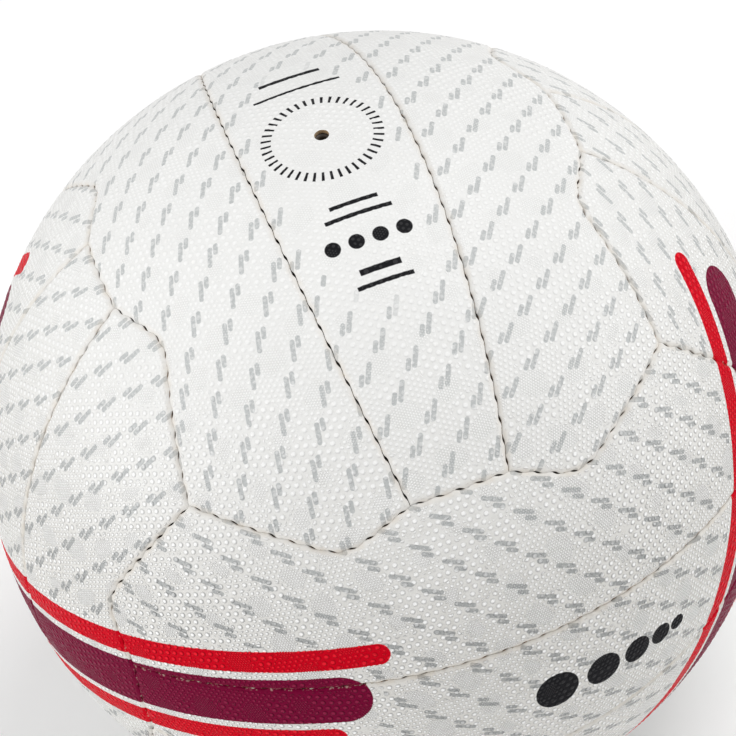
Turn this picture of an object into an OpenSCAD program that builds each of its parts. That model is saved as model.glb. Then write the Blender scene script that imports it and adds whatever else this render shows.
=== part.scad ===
// Netball, size 5: eighteen hand-stitched cover panels over a cloth lining and an inflated bladder.
// Six equal groups of three strips cover the ball, one group to each side of a cube.
// The origin is the ball's centre. +Z runs out through the valve, and the top group's strips run along Y.

/* [Ball] */
// Girth of the inflated ball
ball_girth = 700; // [690:1:710]
// Thickness of a cover panel's skin
cover_t = 1.0; // [0.8:0.1:1.4]
// Thickness of the laminated cloth bonded behind a panel
lining_t = 1.2; // [0.8:0.1:1.4]
// Depth to which the panels' edges are turned in at a seam
hem_depth = 4.6; // [4.2:0.1:6]
// Thickness of the bladder's wall
bladder_t = 0.8; // [0.6:0.1:1.5]

/* [Panels] */
// Width of a centre strip at its middle
centre_strip_w = 44.7; // [40:0.5:50]
// How far a centre strip's end reaches over the cube's edge
centre_reach = 17.6; // [15:0.1:20]
// How far a side strip's end reaches over the cube's edge at its knee
knee_reach = 24.6; // [22.5:0.1:27]
// Distance of a knee from the middle of the cube's edge
knee_along = 33.4; // [30:0.1:37]
// Length along the seam that the round of a knee takes on each side
knee_round = 6.5; // [4:0.5:8]

/* [Seams] */
// Width of the rolled edge of a panel, from the seam to the ball's round
roll_w = 2.4; // [2:0.1:3]
// Depth of the valley along a seam
valley_depth = 1.35; // [1.1:0.05:1.6]
// Thickness of the waxed thread
thread_d = 0.8; // [0.6:0.1:0.9]

/* [Valve] */
// Diameter of the hole in the cover over the valve
cover_hole_d = 3.9; // [3.4:0.1:4.6]
// Diameter of the valve's barrel
barrel_d = 9; // [8:0.5:11]
// Length of the valve's barrel
barrel_len = 15; // [13:0.5:18]
// Diameter of the valve's foot, which is bonded under the bladder
foot_d = 26; // [22:1:30]
// Thickness of the valve's foot at the barrel
foot_t = 1.2; // [0.8:0.1:1.6]
// Diameter of the valve's core
core_d = 5.6; // [5:0.1:6.4]
// Diameter of the head that holds the core in its barrel
core_head_d = 7; // [6.6:0.1:7.4]
// Height of the core's head
core_head_t = 1.6; // [1.2:0.1:2]
// Diameter of the needle's guide hole
needle_hole_d = 2.2; // [2.1:0.05:2.3]
// Depth of the needle's guide hole, down to the closed slit
needle_hole_len = 8; // [6:0.5:10]
// Diameter of the patch that stiffens the bladder round the valve
patch_d = 32; // [30:1:34]
// Thickness of the patch
patch_t = 1.0; // [0.8:0.1:1.2]

/* [Fits] */
// Bond line between two layers that are glued or pressed together
bond_gap = 0.1; // [0.05:0.05:0.15]
// Air round the bladder, the thread and the valve's loose pieces
slip_gap = 0.15; // [0.1:0.05:0.2]

/* [Hidden] */
// How far a cut runs past what it cuts
overrun = 1;
ball_r = ball_girth / (2 * PI);
skin_in_r = ball_r - cover_t;
lining_out_r = skin_in_r - bond_gap;
hem_r = ball_r - hem_depth;
lining_inset = cover_t + bond_gap;
bladder_r = hem_r - slip_gap;
bladder_in_r = bladder_r - bladder_t;
thread_r = thread_d / 2;

// A block's top stands so far out that the chord of its longest side clears the ball
tent_share = 2.2;
// Where the rolled edge takes its levels, how it falls, and how far it runs on above the ball
roll_shares = [0, 0.2, 0.5];
roll_power = 1.7;
roll_overrun_share = 1;
// Turn between two points of a rolled edge, in degrees, and of a wall left whole
roll_step = 7;
full_turn = 360;
// Facets: of a sphere, of a seam's full turn, of a straight seam's thread, of the valve's rounds
sphere_fn = 144;
seam_fn = 180;
thread_fn = 16;
valve_fn = 48;
// Arcs that round a knee, sides of the thread laid round it and its step along the seam
knee_steps = 2;
thread_sides = 6;
thread_step_share = 1 / 16;
thread_step = ball_r * thread_step_share;

FACES = ["top", "right", "rear", "base", "left", "front"];
STRIPS = ["centre", "side_a", "side_b"];
EDGES = ["top_rear", "right_top", "rear_right", "base_rear", "left_top", "front_right",
         "top_front", "right_base", "rear_left", "base_front", "left_base", "front_left"];

cover_white = [0.93, 0.93, 0.91];
cloth_cream = [0.86, 0.82, 0.70];
thread_grey = [0.55, 0.52, 0.47];
bladder_black = [0.12, 0.12, 0.13];
patch_tan = [0.70, 0.55, 0.38];
valve_brown = [0.25, 0.17, 0.13];
core_black = [0.08, 0.08, 0.08];

// Directions. X lies across the strips, Y along them and Z out of the ball, in a group's own frame.
function unit(v) = v / norm(v);
function turn_between(from, to) = acos(unit(from) * unit(to));
function arc_deg(len) = len / ball_r * 180 / PI;
function mirror_x(v) = [-v.x, v.y, v.z];
function mirror_y(v) = [v.x, -v.y, v.z];
function reversed(list) = [for (i = [len(list) - 1:-1:0]) list[i]];
// The turn that carries a group onto the next side of the cube, over its own long edge
function next_side(v) = [v.z, v.x, v.y];
// A direction near the cube's edge at +Y: along it from its middle, and past it away from the group
function past_edge(along, reach) = let (a = arc_deg(along))
    [cos(arc_deg(reach)) * sin(a),
     (sin(arc_deg(reach)) + cos(arc_deg(reach)) * cos(a)) / sqrt(2),
     (cos(arc_deg(reach)) * cos(a) - sin(arc_deg(reach))) / sqrt(2)];

// The corners of the seams. Every seam between two corners is a great circle.
strip_half_deg = arc_deg(centre_strip_w / 2);
inner_seam_n = [cos(strip_half_deg), 0, -sin(strip_half_deg)];
strip_end_n = [0, cos(45 + arc_deg(centre_reach)), -sin(45 + arc_deg(centre_reach))];
junction = unit(cross(inner_seam_n, strip_end_n)) * sign(cross(inner_seam_n, strip_end_n).y);
corner = unit([1, 1, 1]);
knee = past_edge(knee_along, knee_reach);
// A point on the great circle from one direction towards another
function toward(from, to, turn) = let (side = unit(to - from * (from * to)))
    from * cos(turn) + side * sin(turn);
// A knee is rounded by a parabola between its two ends
knee_start = toward(knee, junction, arc_deg(knee_round));
knee_end = toward(knee, corner, arc_deg(knee_round));
function knee_point(t) = unit(knee_start * (1 - t) ^ 2 + knee * 2 * t * (1 - t) + knee_end * t ^ 2);
half_end = [junction, for (i = [0:knee_steps]) knee_point(i / knee_steps), corner];
// The end of a group at +Y, from its corner at -X to its corner at +X
group_end = concat(reversed([for (v = half_end) mirror_x(v)]), half_end);
centre_outline = [for (v = [junction, mirror_x(junction)]) v,
                  for (v = [mirror_x(junction), junction]) mirror_y(v)];
side_outline = concat([for (v = half_end) mirror_y(v)],
                      [for (i = [1:len(group_end) - 1]) next_side(group_end[i])],
                      [for (i = [len(half_end) - 2:-1:0]) half_end[i]]);

// Where the groups lie: three turns about the cube's diagonal, then the same three turned over
module on_face(f) {
    next = [[0, 0, 1, 0], [1, 0, 0, 0], [0, 1, 0, 0], [0, 0, 0, 1]];
    turned = f % 3 == 0 ? [[1, 0, 0, 0], [0, 1, 0, 0], [0, 0, 1, 0], [0, 0, 0, 1]]
           : f % 3 == 1 ? next : next * next;
    multmatrix(turned) rotate([0, f < 3 ? 0 : 180, 0]) children();
}
module on_strip(s) {
    rotate([0, 0, s == 2 ? 180 : 0]) children();
}

// The walls of a block stand on the seams. An inset draws every wall in by the same length.
function wall_normals(outline) = [for (i = [0:len(outline) - 1])
    unit(cross(outline[i], outline[(i + 1) % len(outline)]))];
// A block's corner: where two neighbouring walls meet at a radius
function block_corner(a, b, near, inset, r) =
    let (foot = (a + b) * inset / (1 + a * b), way = unit(cross(a, b)))
    foot + way * sign(way * near) * sqrt(r ^ 2 - foot * foot);
// Points along one wall at even turns, from its first corner up to its last
function wall_points(n, first, last, inset, steps) =
    let (hub = n * inset, arm = first - hub, turn = turn_between(arm, last - hub) / steps)
    [for (k = [0:steps - 1]) hub + arm * cos(turn * k) + cross(n, arm) * sin(turn * k)];
function block_ring(outline, inset, r, step) =
    let (n = wall_normals(outline), count = len(outline),
         ends = [for (i = [0:count - 1])
             block_corner(n[(i + count - 1) % count], n[i], outline[i], inset, r)])
    [for (i = [0:count - 1]) let (j = (i + 1) % count)
        let (steps = ceil(turn_between(outline[i], outline[j]) / step))
        each wall_points(n[i], ends[i], ends[j], inset, steps)];
function middle(list) = let (total = [for (v = list) 1] * list) total / len(list);

// The wedge of space under a panel, lofted over levels that each give a radius and an inset
module panel_block(outline, levels, step) {
    rings = [for (v = levels) block_ring(outline, v[1], v[0], step)];
    count = len(rings[0]);
    top = len(levels) - 1;
    hub = unit(middle(outline));
    points = concat([for (ring = rings) each ring], [hub * levels[0][0], hub * ball_r * tent_share]);
    walls = [for (k = [0:top - 1]) for (i = [0:count - 1])
        let (a = k * count + i, b = k * count + (i + 1) % count)
        each [[a, b + count, b], [a, a + count, b + count]]];
    caps = [for (i = [0:count - 1]) let (j = (i + 1) % count)
        each [[i, j, (top + 1) * count], [top * count + j, top * count + i, (top + 1) * count + 1]]];
    polyhedron(points, concat(walls, caps));
}
// A block with plain flat walls
module plain_block(outline, inset, low_r) {
    panel_block(outline, [[low_r, inset], [ball_r * tent_share, inset]], full_turn);
}
// A block whose edge is rolled over into the valley of the seam
module rolled_block(outline) {
    function roll_level(u) = [ball_r - valley_depth * (1 - u) ^ roll_power, roll_w * u];
    rim = roll_level(1);
    before = roll_level(roll_shares[len(roll_shares) - 1]);
    panel_block(outline, concat([[hem_r - overrun, 0]], [for (u = roll_shares) roll_level(u)],
        [rim + (rim - before) * roll_overrun_share]), roll_step);
}

// Carries a turn about Z onto the great circle from one direction to another
module along_arc(from, to) {
    axis = unit(cross(from, to));
    side = cross(axis, from);
    multmatrix([[from.x, side.x, axis.x, 0], [from.y, side.y, axis.y, 0],
                [from.z, side.z, axis.z, 0], [0, 0, 0, 1]]) children();
}

// Hollows a panel from behind, so that its skin or cloth turns in along every seam
module hollow_behind(outline, out_r, inset, wall) {
    difference() {
        children();
        sphere(r = hem_r, $fn = sphere_fn);
        intersection() {
            sphere(r = out_r - wall, $fn = sphere_fn);
            plain_block(outline, inset + wall, hem_r - 2 * overrun);
        }
    }
}
module cover_panel(outline) {
    hollow_behind(outline, ball_r, 0, cover_t)
        intersection() {
            sphere(r = ball_r, $fn = sphere_fn);
            rolled_block(outline);
        }
}
module lining_panel(outline) {
    hollow_behind(outline, lining_out_r, lining_inset, lining_t)
        intersection() {
            sphere(r = lining_out_r, $fn = sphere_fn);
            plain_block(outline, lining_inset, hem_r - overrun);
        }
}
function strip_outline(s) = s == 0 ? centre_outline : side_outline;

module cover(f, s) {
    color(cover_white) difference() {
        on_face(f) on_strip(s) cover_panel(strip_outline(s));
        if (f == 0 && s == 0)
            translate([0, 0, hem_r]) cylinder(d = cover_hole_d, h = hem_depth + overrun, $fn = valve_fn);
    }
}
module lining(f, s) {
    color(cloth_cream) difference() {
        on_face(f) on_strip(s) lining_panel(strip_outline(s));
        if (f == 0 && s == 0)
            translate([0, 0, hem_r])
                cylinder(d = barrel_d + 2 * slip_gap, h = hem_depth + overrun, $fn = valve_fn);
    }
}

// The thread lies in the bottom of the valley, clear of both banks
thread_seat_deg = atan(roll_w * roll_shares[1] / (valley_depth * (1 - (1 - roll_shares[1]) ^ roll_power)));
thread_path_r = ball_r - valley_depth + (thread_r + slip_gap) / sin(thread_seat_deg);

module strip_threads(f) {
    stop = arc_deg(2 * thread_d);
    sewn = turn_between(mirror_y(junction), junction);
    color(thread_grey) on_face(f) for (s = [0, 1])
        rotate([0, 0, s * 180])
            along_arc(mirror_y(junction), junction)
                rotate([0, 0, stop])
                    rotate_extrude(angle = sewn - 2 * stop, $fn = seam_fn)
                        translate([thread_path_r, 0]) circle(d = thread_d, $fn = thread_fn);
}

// Directions at even steps along the seams of a group's end
function steps_between(from, to) = ceil(turn_between(from, to) / arc_deg(thread_step));
function end_path(list) = [for (i = [0:len(list) - 2]) let (n = steps_between(list[i], list[i + 1]))
    for (k = [0:n - 1]) toward(list[i], list[i + 1], turn_between(list[i], list[i + 1]) * k / n),
    list[len(list) - 1]];
module edge_thread(f) {
    stop = arc_deg(2 * thread_d);
    last = len(group_end) - 1;
    ends = [for (i = [0:last]) i == 0 ? toward(group_end[0], group_end[1], stop)
        : i == last ? toward(group_end[last], group_end[last - 1], stop) : group_end[i]];
    path = end_path(ends);
    rings = len(path);
    points = [for (i = [0:rings - 1])
        let (way = unit(path[min(i + 1, rings - 1)] - path[max(i - 1, 0)]),
             side = unit(cross(way, path[i])))
        for (k = [0:thread_sides - 1]) let (turn = 360 * k / thread_sides)
            path[i] * (thread_path_r + thread_r * cos(turn)) + side * thread_r * sin(turn)];
    skin = [for (i = [0:rings - 2]) for (k = [0:thread_sides - 1])
        let (a = i * thread_sides + k, b = i * thread_sides + (k + 1) % thread_sides)
        each [[a, b, b + thread_sides], [a, b + thread_sides, a + thread_sides]]];
    tail = (rings - 1) * thread_sides;
    caps = [for (k = [1:thread_sides - 2]) each [[0, k + 1, k], [tail, tail + k, tail + k + 1]]];
    color(thread_grey) on_face(f % 6) rotate([0, 0, f < 6 ? 0 : 180]) polyhedron(points, concat(skin, caps));
}

module bladder() {
    color(bladder_black) difference() {
        sphere(r = bladder_r, $fn = sphere_fn);
        sphere(r = bladder_in_r, $fn = sphere_fn);
        cylinder(d = barrel_d + 2 * slip_gap, h = ball_r, $fn = valve_fn);
    }
}

// A round washer that follows the ball's curve
module dished_washer(out_r, thick, outer_d, hole_d) {
    difference() {
        intersection() {
            sphere(r = out_r, $fn = sphere_fn);
            cylinder(d = outer_d, h = ball_r, $fn = valve_fn);
        }
        sphere(r = out_r - thick, $fn = sphere_fn);
        cylinder(d = hole_d, h = ball_r, $fn = valve_fn);
    }
}
module valve_patch() {
    color(patch_tan)
        dished_washer(bladder_r + bond_gap + patch_t, patch_t, patch_d, barrel_d + 2 * slip_gap);
}

barrel_top = skin_in_r - slip_gap;
barrel_low = barrel_top - barrel_len;
core_low = barrel_low + core_head_t;
module valve_body() {
    foot_out_r = bladder_in_r - bond_gap;
    color(valve_brown) difference() {
        union() {
            translate([0, 0, barrel_low]) cylinder(d = barrel_d, h = barrel_len, $fn = valve_fn);
            dished_washer(foot_out_r, foot_t, foot_d, barrel_d / 2);
        }
        translate([0, 0, barrel_low - overrun])
            cylinder(d = core_d + 2 * bond_gap, h = barrel_len + 2 * overrun, $fn = valve_fn);
        translate([0, 0, barrel_low - overrun])
            cylinder(d = core_head_d + 2 * bond_gap, h = core_head_t + bond_gap + overrun, $fn = valve_fn);
    }
}
module valve_core() {
    color(core_black) difference() {
        union() {
            translate([0, 0, barrel_low]) cylinder(d = core_head_d, h = core_head_t, $fn = valve_fn);
            translate([0, 0, barrel_low]) cylinder(d = core_d, h = barrel_len, $fn = valve_fn);
        }
        translate([0, 0, barrel_top - needle_hole_len])
            cylinder(d = needle_hole_d, h = needle_hole_len + overrun, $fn = valve_fn);
    }
}

for (f = [0:5]) for (s = [0:2]) {
    cover(f, s);
    lining(f, s);
}
for (f = [0:5])
    strip_threads(f);
for (e = [0:11])
    edge_thread(e);
bladder();
valve_patch();
valve_body();
valve_core();
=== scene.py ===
"""A hand-stitched netball: grip panels, cloth linings, waxed stitches, bladder and valve."""

import math

import bmesh
import bpy
import numpy as np
from bpy.props import FloatProperty, FloatVectorProperty, PointerProperty
from bpy.types import Operator, Panel, PropertyGroup
from mathutils import Matrix, Vector
from mathutils.kdtree import KDTree


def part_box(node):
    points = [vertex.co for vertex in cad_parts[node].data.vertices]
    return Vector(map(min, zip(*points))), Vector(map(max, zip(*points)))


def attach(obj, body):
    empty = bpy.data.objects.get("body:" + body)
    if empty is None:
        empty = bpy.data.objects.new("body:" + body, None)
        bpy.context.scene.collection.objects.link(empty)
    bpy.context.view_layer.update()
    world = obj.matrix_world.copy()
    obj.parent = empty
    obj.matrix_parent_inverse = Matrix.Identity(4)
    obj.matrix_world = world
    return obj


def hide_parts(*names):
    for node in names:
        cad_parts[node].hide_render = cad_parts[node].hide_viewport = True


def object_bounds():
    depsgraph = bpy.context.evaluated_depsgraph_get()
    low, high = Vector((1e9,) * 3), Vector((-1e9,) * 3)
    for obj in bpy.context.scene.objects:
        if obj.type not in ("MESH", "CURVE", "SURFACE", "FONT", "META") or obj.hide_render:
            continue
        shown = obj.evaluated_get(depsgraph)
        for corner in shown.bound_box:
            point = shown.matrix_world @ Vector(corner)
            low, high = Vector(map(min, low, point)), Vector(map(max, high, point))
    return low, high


bl_info = {
    "name": "Netball",
    "version": (1, 0, 0),
    "blender": (4, 5, 0),
    "location": "View3D > Sidebar > Netball",
    "description": "Models a hand-stitched netball piece by piece round its packed frame",
    "category": "Add Mesh",
}

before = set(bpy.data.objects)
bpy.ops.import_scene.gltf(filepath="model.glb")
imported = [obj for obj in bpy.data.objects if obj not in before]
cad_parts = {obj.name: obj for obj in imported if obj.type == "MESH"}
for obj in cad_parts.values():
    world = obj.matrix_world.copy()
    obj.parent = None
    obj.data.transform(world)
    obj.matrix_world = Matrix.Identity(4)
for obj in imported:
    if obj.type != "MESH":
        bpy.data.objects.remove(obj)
CAD_BOX = [list(corner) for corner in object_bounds()]

MM = 0.001
TO_MM = 1000.0
# The ball's radius over its grip, and the depth that its panels' hems reach
BALL_R = CAD_BOX[1][0]
HEM_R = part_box("bladder")[1].y

FACES = ["top", "right", "rear", "base", "left", "front"]
STRIPS = ["centre", "side_a", "side_b"]
EDGES = ["top_rear", "right_top", "rear_right", "base_rear", "left_top", "front_right",
         "top_front", "right_base", "rear_left", "base_front", "left_base", "front_left"]


def millimetres(name, description, size):
    """A length that a user may change, with its default in millimetres"""
    return FloatProperty(name=name, description=description, default=size * MM, unit="LENGTH")


def degrees(name, description, turn):
    """An angle that a user may change, with its default in degrees"""
    return FloatProperty(name=name, description=description, default=math.radians(turn), subtype="ANGLE")


def colour(name, description, *rgb):
    """A finish's colour that a user may change"""
    return FloatVectorProperty(name=name, description=description, default=rgb, subtype="COLOR", size=3)


class BallSizes(PropertyGroup):
    """Sizes of the panels, seams and stitches"""
    centre_strip_w: millimetres("Centre strip", "Width of a centre strip at its middle", 44.7)
    centre_reach: millimetres(
        "Centre reach", "How far a centre strip's end reaches past the cube's edge", 17.6)
    knee_reach: millimetres("Knee reach", "How far a side strip's end reaches over the cube's edge", 24.6)
    knee_along: millimetres("Knee place", "Distance of a knee from the middle of the cube's edge", 33.4)
    knee_round: millimetres(
        "Knee round", "Length of seam that the round of a knee takes on each side", 6.5)
    skin_t: millimetres("Skin", "Thickness of the rubber skin", 1.0)
    cloth_t: millimetres("Lining", "Thickness of the laminated cloth", 1.2)
    bond_gap: millimetres("Bond", "Bond line between two layers", 0.1)
    roll_w: millimetres("Roll width", "Width of a panel's rolled edge", 1.4)
    valley_depth: millimetres("Valley", "Depth of the valley along a seam", 0.5)
    stitch_pitch: millimetres("Stitch", "Length of one stitch along a seam", 5.3)
    thread_d: millimetres("Thread", "Thickness of the waxed thread", 0.62)
    barrel_bore_d: millimetres(
        "Barrel bore", "Diameter of the lining's hole round the valve's barrel", 9.3)
    hole_d: millimetres("Valve hole", "Diameter of the hole over the valve", 3.9)


class GripSizes(PropertyGroup):
    """Sizes of the grip's raised dots"""
    step: millimetres("Dot step", "Pitch of the finest dots, and of the mesh under them", 0.75)
    large_height: millimetres("Large dots", "Height of the large dots", 0.17)
    medium_height: millimetres("Medium dots", "Height of the medium dots", 0.12)
    margin: millimetres("Margin", "Width along a seam that has no dots", 0.9)


class ValveSizes(PropertyGroup):
    """Sizes of the bladder and the valve"""
    slip_gap: millimetres("Slip", "Air round the bladder and the barrel", 0.15)
    bladder_t: millimetres("Bladder", "Thickness of the bladder's wall", 0.8)
    patch_d: millimetres("Patch", "Diameter of the patch round the valve", 32)
    patch_t: millimetres("Patch thickness", "Thickness of the patch", 1.0)
    barrel_d: millimetres("Barrel", "Diameter of the valve's barrel", 9)
    barrel_len: millimetres("Barrel length", "Length of the valve's barrel", 14.8)
    foot_d: millimetres("Foot", "Diameter of the valve's foot", 26)
    foot_t: millimetres("Foot thickness", "Thickness of the foot at the barrel", 1.2)
    core_d: millimetres("Core", "Diameter of the valve's core", 5.6)
    core_head_d: millimetres("Core head", "Diameter of the core's head", 7)
    core_head_t: millimetres("Core head thickness", "Thickness of the core's head", 1.6)
    needle_d: millimetres("Needle hole", "Diameter of the needle's guide hole", 2.2)
    needle_len: millimetres("Needle hole depth", "Depth of the needle's guide hole", 8)


class BallColours(PropertyGroup):
    """Colours of the ball's finishes"""
    white: colour("Cover", "Rubber of the cover", 0.855, 0.855, 0.845)
    stain: colour("Seam stain", "Wax and dust beside the seams", 0.60, 0.50, 0.38)
    # The hem's colour is painted shade: the hem down inside a seam painted dark
    hem: colour("Hem", "Raw hem inside a seam", 0.10, 0.075, 0.055)
    dash: colour("Grey print", "Short printed dashes", 0.26, 0.27, 0.27)
    red: colour("Red band", "Red of the printed bands", 0.69, 0.0, 0.013)
    plum: colour("Plum band", "Plum of the printed bands", 0.20, 0.002, 0.036)
    ink: colour("Black print", "Plain marks by the valve and at the front", 0.012, 0.012, 0.014)
    thread: colour("Thread", "Waxed thread", 0.46, 0.41, 0.33)
    cloth: colour("Lining", "Laminated cloth", 0.62, 0.56, 0.43)


class StageSizes(PropertyGroup):
    """The camera's place"""
    azimuth: degrees("Azimuth", "Where the camera stands round the ball", -10.58)
    elevation: degrees("Elevation", "Height of the camera over the horizon", 46.6)
    roll: degrees("Roll", "Roll of the camera", 11.34)
    distance: millimetres("Distance", "From the camera to the ball's centre", 880)
    lens: FloatProperty(name="Lens", description="Focal length in millimetres", default=151.7)


# The seams. X lies across a group's strips, Y along them and Z out of the ball.

# How many straight steps make the round of a knee, and how close the points of a seam stand
KNEE_STEPS = 8
POINT_STEP = 0.2 * MM
# A place along a seam may be this far off, in metres
PLACE_SLACK = 1e-5


def unit(v):
    v = np.asarray(v, float)
    return v / np.linalg.norm(v, axis=-1, keepdims=True)


def mirror_x(v):
    return v * np.array([-1.0, 1.0, 1.0])


def half_turn(v):
    """Turned half round about Z"""
    return v * np.array([-1.0, -1.0, 1.0])


def next_side(v):
    """Carried onto the next side of the cube, over the group's long edge"""
    return np.roll(v, 1, axis=-1)


def past_edge(along, reach):
    """A direction near the cube's edge at +Y: along it from its middle, and past it"""
    a, r = along / BALL_R, reach / BALL_R
    return np.array([math.cos(r) * math.sin(a),
                     (math.sin(r) + math.cos(r) * math.cos(a)) / math.sqrt(2),
                     (math.cos(r) * math.cos(a) - math.sin(r)) / math.sqrt(2)])


def toward(start, end, length):
    """A point on the great circle from one direction towards another"""
    side = unit(end - start * (start @ end))
    turn = length / BALL_R
    return start * math.cos(turn) + side * math.sin(turn)


def arc_length(a, b):
    return BALL_R * math.acos(max(-1.0, min(1.0, float(a @ b))))


def seam_corners(sizes):
    """The junction of a strip seam with its group's end, and the half end from there to the corner"""
    half = sizes.centre_strip_w / 2 / BALL_R
    tilt = math.pi / 4 + sizes.centre_reach / BALL_R
    junction = unit(np.cross([math.cos(half), 0, -math.sin(half)], [0, math.cos(tilt), -math.sin(tilt)]))
    junction = junction * np.sign(junction[1])
    corner = unit([1, 1, 1])
    knee = past_edge(sizes.knee_along, sizes.knee_reach)
    start = toward(knee, junction, sizes.knee_round)
    end = toward(knee, corner, sizes.knee_round)
    bend = [unit(start * (1 - t) ** 2 + knee * 2 * t * (1 - t) + end * t ** 2)
            for t in np.linspace(0, 1, KNEE_STEPS + 1)]
    return junction, np.array([junction, *bend, corner])


class Seam:
    """A line of close points along a seam, with the place along it, its way and its outer side"""

    def __init__(self, corners, marks, kind):
        points, places, ways, outs = [], [], [], []
        place = 0.0
        for a, b in zip(corners[:-1], corners[1:]):
            length = arc_length(a, b)
            count = max(2, int(length / POINT_STEP))
            normal = unit(np.cross(a, b))
            for k in range(count + 1):
                p = toward(a, b, length * k / count)
                points.append(p)
                places.append(place + length * k / count)
                ways.append(np.cross(normal, p))
                outs.append(normal)
            place += length
        self.corners = np.array(corners)
        self.points, self.ways, self.outs = np.array(points), np.array(ways), np.array(outs)
        self.places = np.array(places) - place / 2
        self.length, self.kind, self.marks = place, kind, marks

    def moved(self, turn):
        """The same seam after a rotation"""
        other = Seam.__new__(Seam)
        other.__dict__.update(self.__dict__)
        for name in ("corners", "points", "ways", "outs"):
            setattr(other, name, turn(getattr(self, name)))
        return other

    def piece(self, first, last, panel_side):
        """The stretch between two places along the seam"""
        other = self.moved(lambda v: v)
        keep = (self.places >= first - PLACE_SLACK) & (self.places <= last + PLACE_SLACK)
        for name in ("points", "ways", "outs", "places"):
            setattr(other, name, getattr(self, name)[keep])
        lengths = np.array([arc_length(a, b) for a, b in zip(self.corners[:-1], self.corners[1:])])
        at = np.concatenate([[0], np.cumsum(lengths)]) - self.length / 2
        other.corners = self.corners[(at >= first - PLACE_SLACK) & (at <= last + PLACE_SLACK)]
        other.panel_side = panel_side
        return other

    def phase(self, places):
        """Stitches counted along the seam: whole numbers are tight, halves are open"""
        return np.interp(places, self.marks[0], self.marks[1])


def make_seams(sizes):
    """The strip seam at +X and the end seam at +Y, in their group's frame"""
    junction, half_end = seam_corners(sizes)
    low = junction * np.array([1.0, -1.0, 1.0])
    length = arc_length(low, junction)
    count = round(length / sizes.stitch_pitch)
    strip = Seam([low, junction], ([-length / 2, length / 2], [0, count]), "strip")
    end_points = np.concatenate([mirror_x(half_end)[::-1], half_end])
    half = sum(arc_length(a, b) for a, b in zip(half_end[:-1], half_end[1:]))
    middle = arc_length(mirror_x(junction), junction) / 2
    outer, inner = round(half / sizes.stitch_pitch), round(2 * middle / sizes.stitch_pitch)
    marks = ([-middle - half, -middle, middle, middle + half],
             [0, outer, outer + inner, 2 * outer + inner])
    end = Seam(end_points, marks, "end")
    # The outer side of a seam points away from the strip, or away from the group
    if strip.outs[0][0] < 0:
        strip.outs = -strip.outs
    if end.outs[len(end.outs) // 2][1] < 0:
        end.outs = -end.outs
    return strip, end, middle


def panel_seams(kind, sizes):
    """The seams round a centre strip or a side strip. The panel's side is -1 inside a seam, 1 outside."""
    strip, end, middle = make_seams(sizes)
    far = end.places[-1]
    if kind == "centre":
        across = end.piece(-middle, middle, -1)
        beside = strip.piece(strip.places[0], strip.places[-1], -1)
        return [beside, across, beside.moved(half_turn), across.moved(half_turn)]
    beside = strip.piece(strip.places[0], strip.places[-1], 1)
    head = end.piece(middle, far, -1)
    foot = end.piece(-far, -middle, -1).moved(half_turn)
    outer = end.piece(-far, far, 1).moved(next_side)
    return [beside, head, outer, foot]


def outline_polygon(seams):
    """The corners of a closed outline, in order"""
    loops = [list(s.corners) for s in seams]
    polygon = loops.pop(0)
    while loops:
        at = polygon[-1]
        best = min(range(len(loops)), key=lambda i: min(np.linalg.norm(loops[i][0] - at),
                                                        np.linalg.norm(loops[i][-1] - at)))
        loop = loops.pop(best)
        if np.linalg.norm(loop[-1] - at) < np.linalg.norm(loop[0] - at):
            loop = loop[::-1]
        polygon += loop[1:]
    return np.array(polygon)


def inside_outline(points, polygon):
    """Which points lie inside an outline, seen from the ball's centre"""
    hub = unit(polygon.mean(axis=0))
    side = unit(np.cross(hub, [0.3, 0.5, 0.8]))
    up = np.cross(hub, side)

    def flat(v):
        depth = v @ hub
        return (v @ side) / depth, (v @ up) / depth

    x, y = flat(points)
    px, py = flat(polygon)
    inside = np.zeros(len(points), bool)
    for i in range(len(polygon)):
        j = i - 1
        crosses = (py[i] > y) != (py[j] > y)
        if not crosses.any():
            continue
        at = (px[j] - px[i]) * (y - py[i]) / (py[j] - py[i] + 1e-15) + px[i]
        inside ^= crosses & (x < at)
    return inside


class Outline:
    """All the seams round one panel, ready to be asked how far a point is from them"""

    def __init__(self, kind, sizes):
        self.seams = panel_seams(kind, sizes)
        self.polygon = outline_polygon(self.seams)
        self.points, self.ways, self.places = (
            np.concatenate([getattr(s, name) for s in self.seams]) for name in ("points", "ways", "places"))
        self.outs = np.concatenate([-s.panel_side * s.outs for s in self.seams])
        self.owner = np.concatenate([np.full(len(s.points), i) for i, s in enumerate(self.seams)])
        self.tree = KDTree(len(self.points))
        for i, p in enumerate(self.points):
            self.tree.insert(p, i)
        self.tree.balance()

    def distance(self, points):
        """How far inside the seams each direction lies, in metres, with the nearest seam point"""
        near = np.array([self.tree.find(p)[1] for p in points])
        across = -np.einsum("ij,ij->i", points, self.outs[near])
        return BALL_R * np.arcsin(np.clip(across, -1, 1)), near

    def place(self, points, near):
        """Where along its seam each direction lies, in metres"""
        ahead = np.einsum("ij,ij->i", points - self.points[near], self.ways[near])
        return self.places[near] + BALL_R * ahead

    def drawn_in(self, points, inset):
        """Directions moved inwards until they are that far from every seam"""
        points = np.array(points)
        for _ in range(8):
            far, near = self.distance(points)
            short = np.maximum(inset - far, 0)
            points = unit(points - self.outs[near] * (short / BALL_R)[:, None])
        return points


# How wide a seam gapes and how short the gaps are, how far its line swings between tight stitches,
# and how high its thread stands
SEAM_GAPS = {
    "strip": {"tight": 0.16 * MM, "open": 0.54 * MM, "short": 1.7, "swing": 0.17 * MM, "thread": -0.24 * MM},
    "end": {"tight": 0.03 * MM, "open": 0.62 * MM, "short": 1.2, "swing": 0.25 * MM, "thread": -0.22 * MM},
}


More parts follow.
